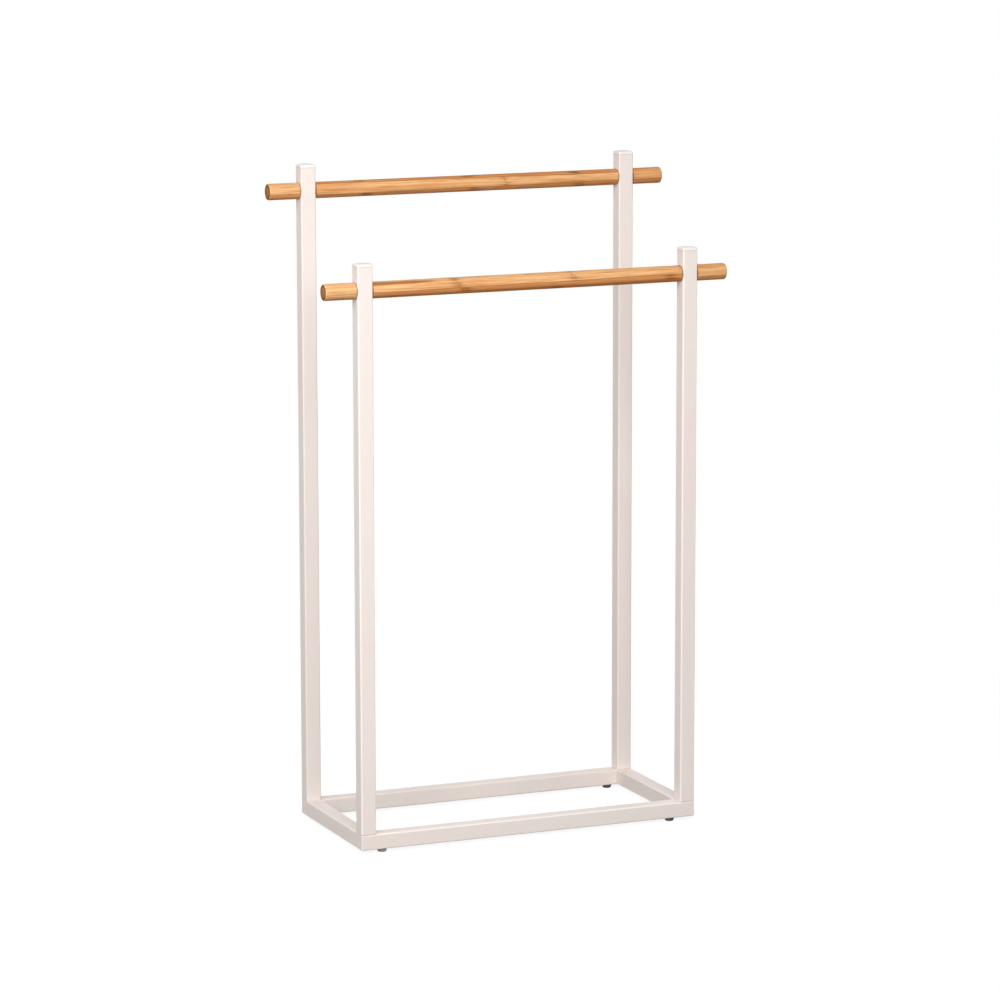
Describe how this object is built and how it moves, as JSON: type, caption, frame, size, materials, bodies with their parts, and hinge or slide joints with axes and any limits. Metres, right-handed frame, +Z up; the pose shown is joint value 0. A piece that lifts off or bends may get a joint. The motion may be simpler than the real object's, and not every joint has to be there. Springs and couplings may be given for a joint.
{
  "type": "towel stand",
  "caption": "Freestanding towel stand: round bamboo bars at different heights between square white steel posts on an open rectangular base frame with small rubber feet.",
  "frame": {"origin": "on the floor, under the middle of the base frame", "axes": "+X along the bars to the right as seen from the front, +Y from the low front bar to the high rear bar, +Z up"},
  "size_m": [0.52, 0.207, 0.8115],
  "materials": {
    "powder_coat": "warm white powder coat, fine texture, semi-matt",
    "cap_plastic": "white moulded plastic",
    "bamboo": "clear-lacquered bamboo rod, grain along the rod",
    "foot_rubber": "black rubber",
    "zinc_steel": "bright zinc plate",
    "brass": "plain brass"
  },
  "bodies": {
    "root": {"base_front_rail": "powder_coat", "base_rear_rail": "powder_coat", "base_left_rail": "powder_coat", "base_right_rail": "powder_coat", "post_front_left": "powder_coat", "post_front_right": "powder_coat", "post_rear_left": "powder_coat", "post_rear_right": "powder_coat", "cap_front_left": "cap_plastic", "cap_front_right": "cap_plastic", "cap_rear_left": "cap_plastic", "cap_rear_right": "cap_plastic", "front_bar": "bamboo", "rear_bar": "bamboo", "front_bar_end_left": "bamboo", "front_bar_end_right": "bamboo", "rear_bar_end_left": "bamboo", "rear_bar_end_right": "bamboo", "foot_front_left": "foot_rubber", "foot_front_right": "foot_rubber", "foot_rear_left": "foot_rubber", "foot_rear_right": "foot_rubber", "post_plugs": "zinc_steel", "base_washers": "zinc_steel", "base_bolts": "zinc_steel", "front_bar_studs": "zinc_steel", "rear_bar_studs": "zinc_steel", "front_bar_inserts": "brass", "rear_bar_inserts": "brass"}
  },
  "joints": []
}
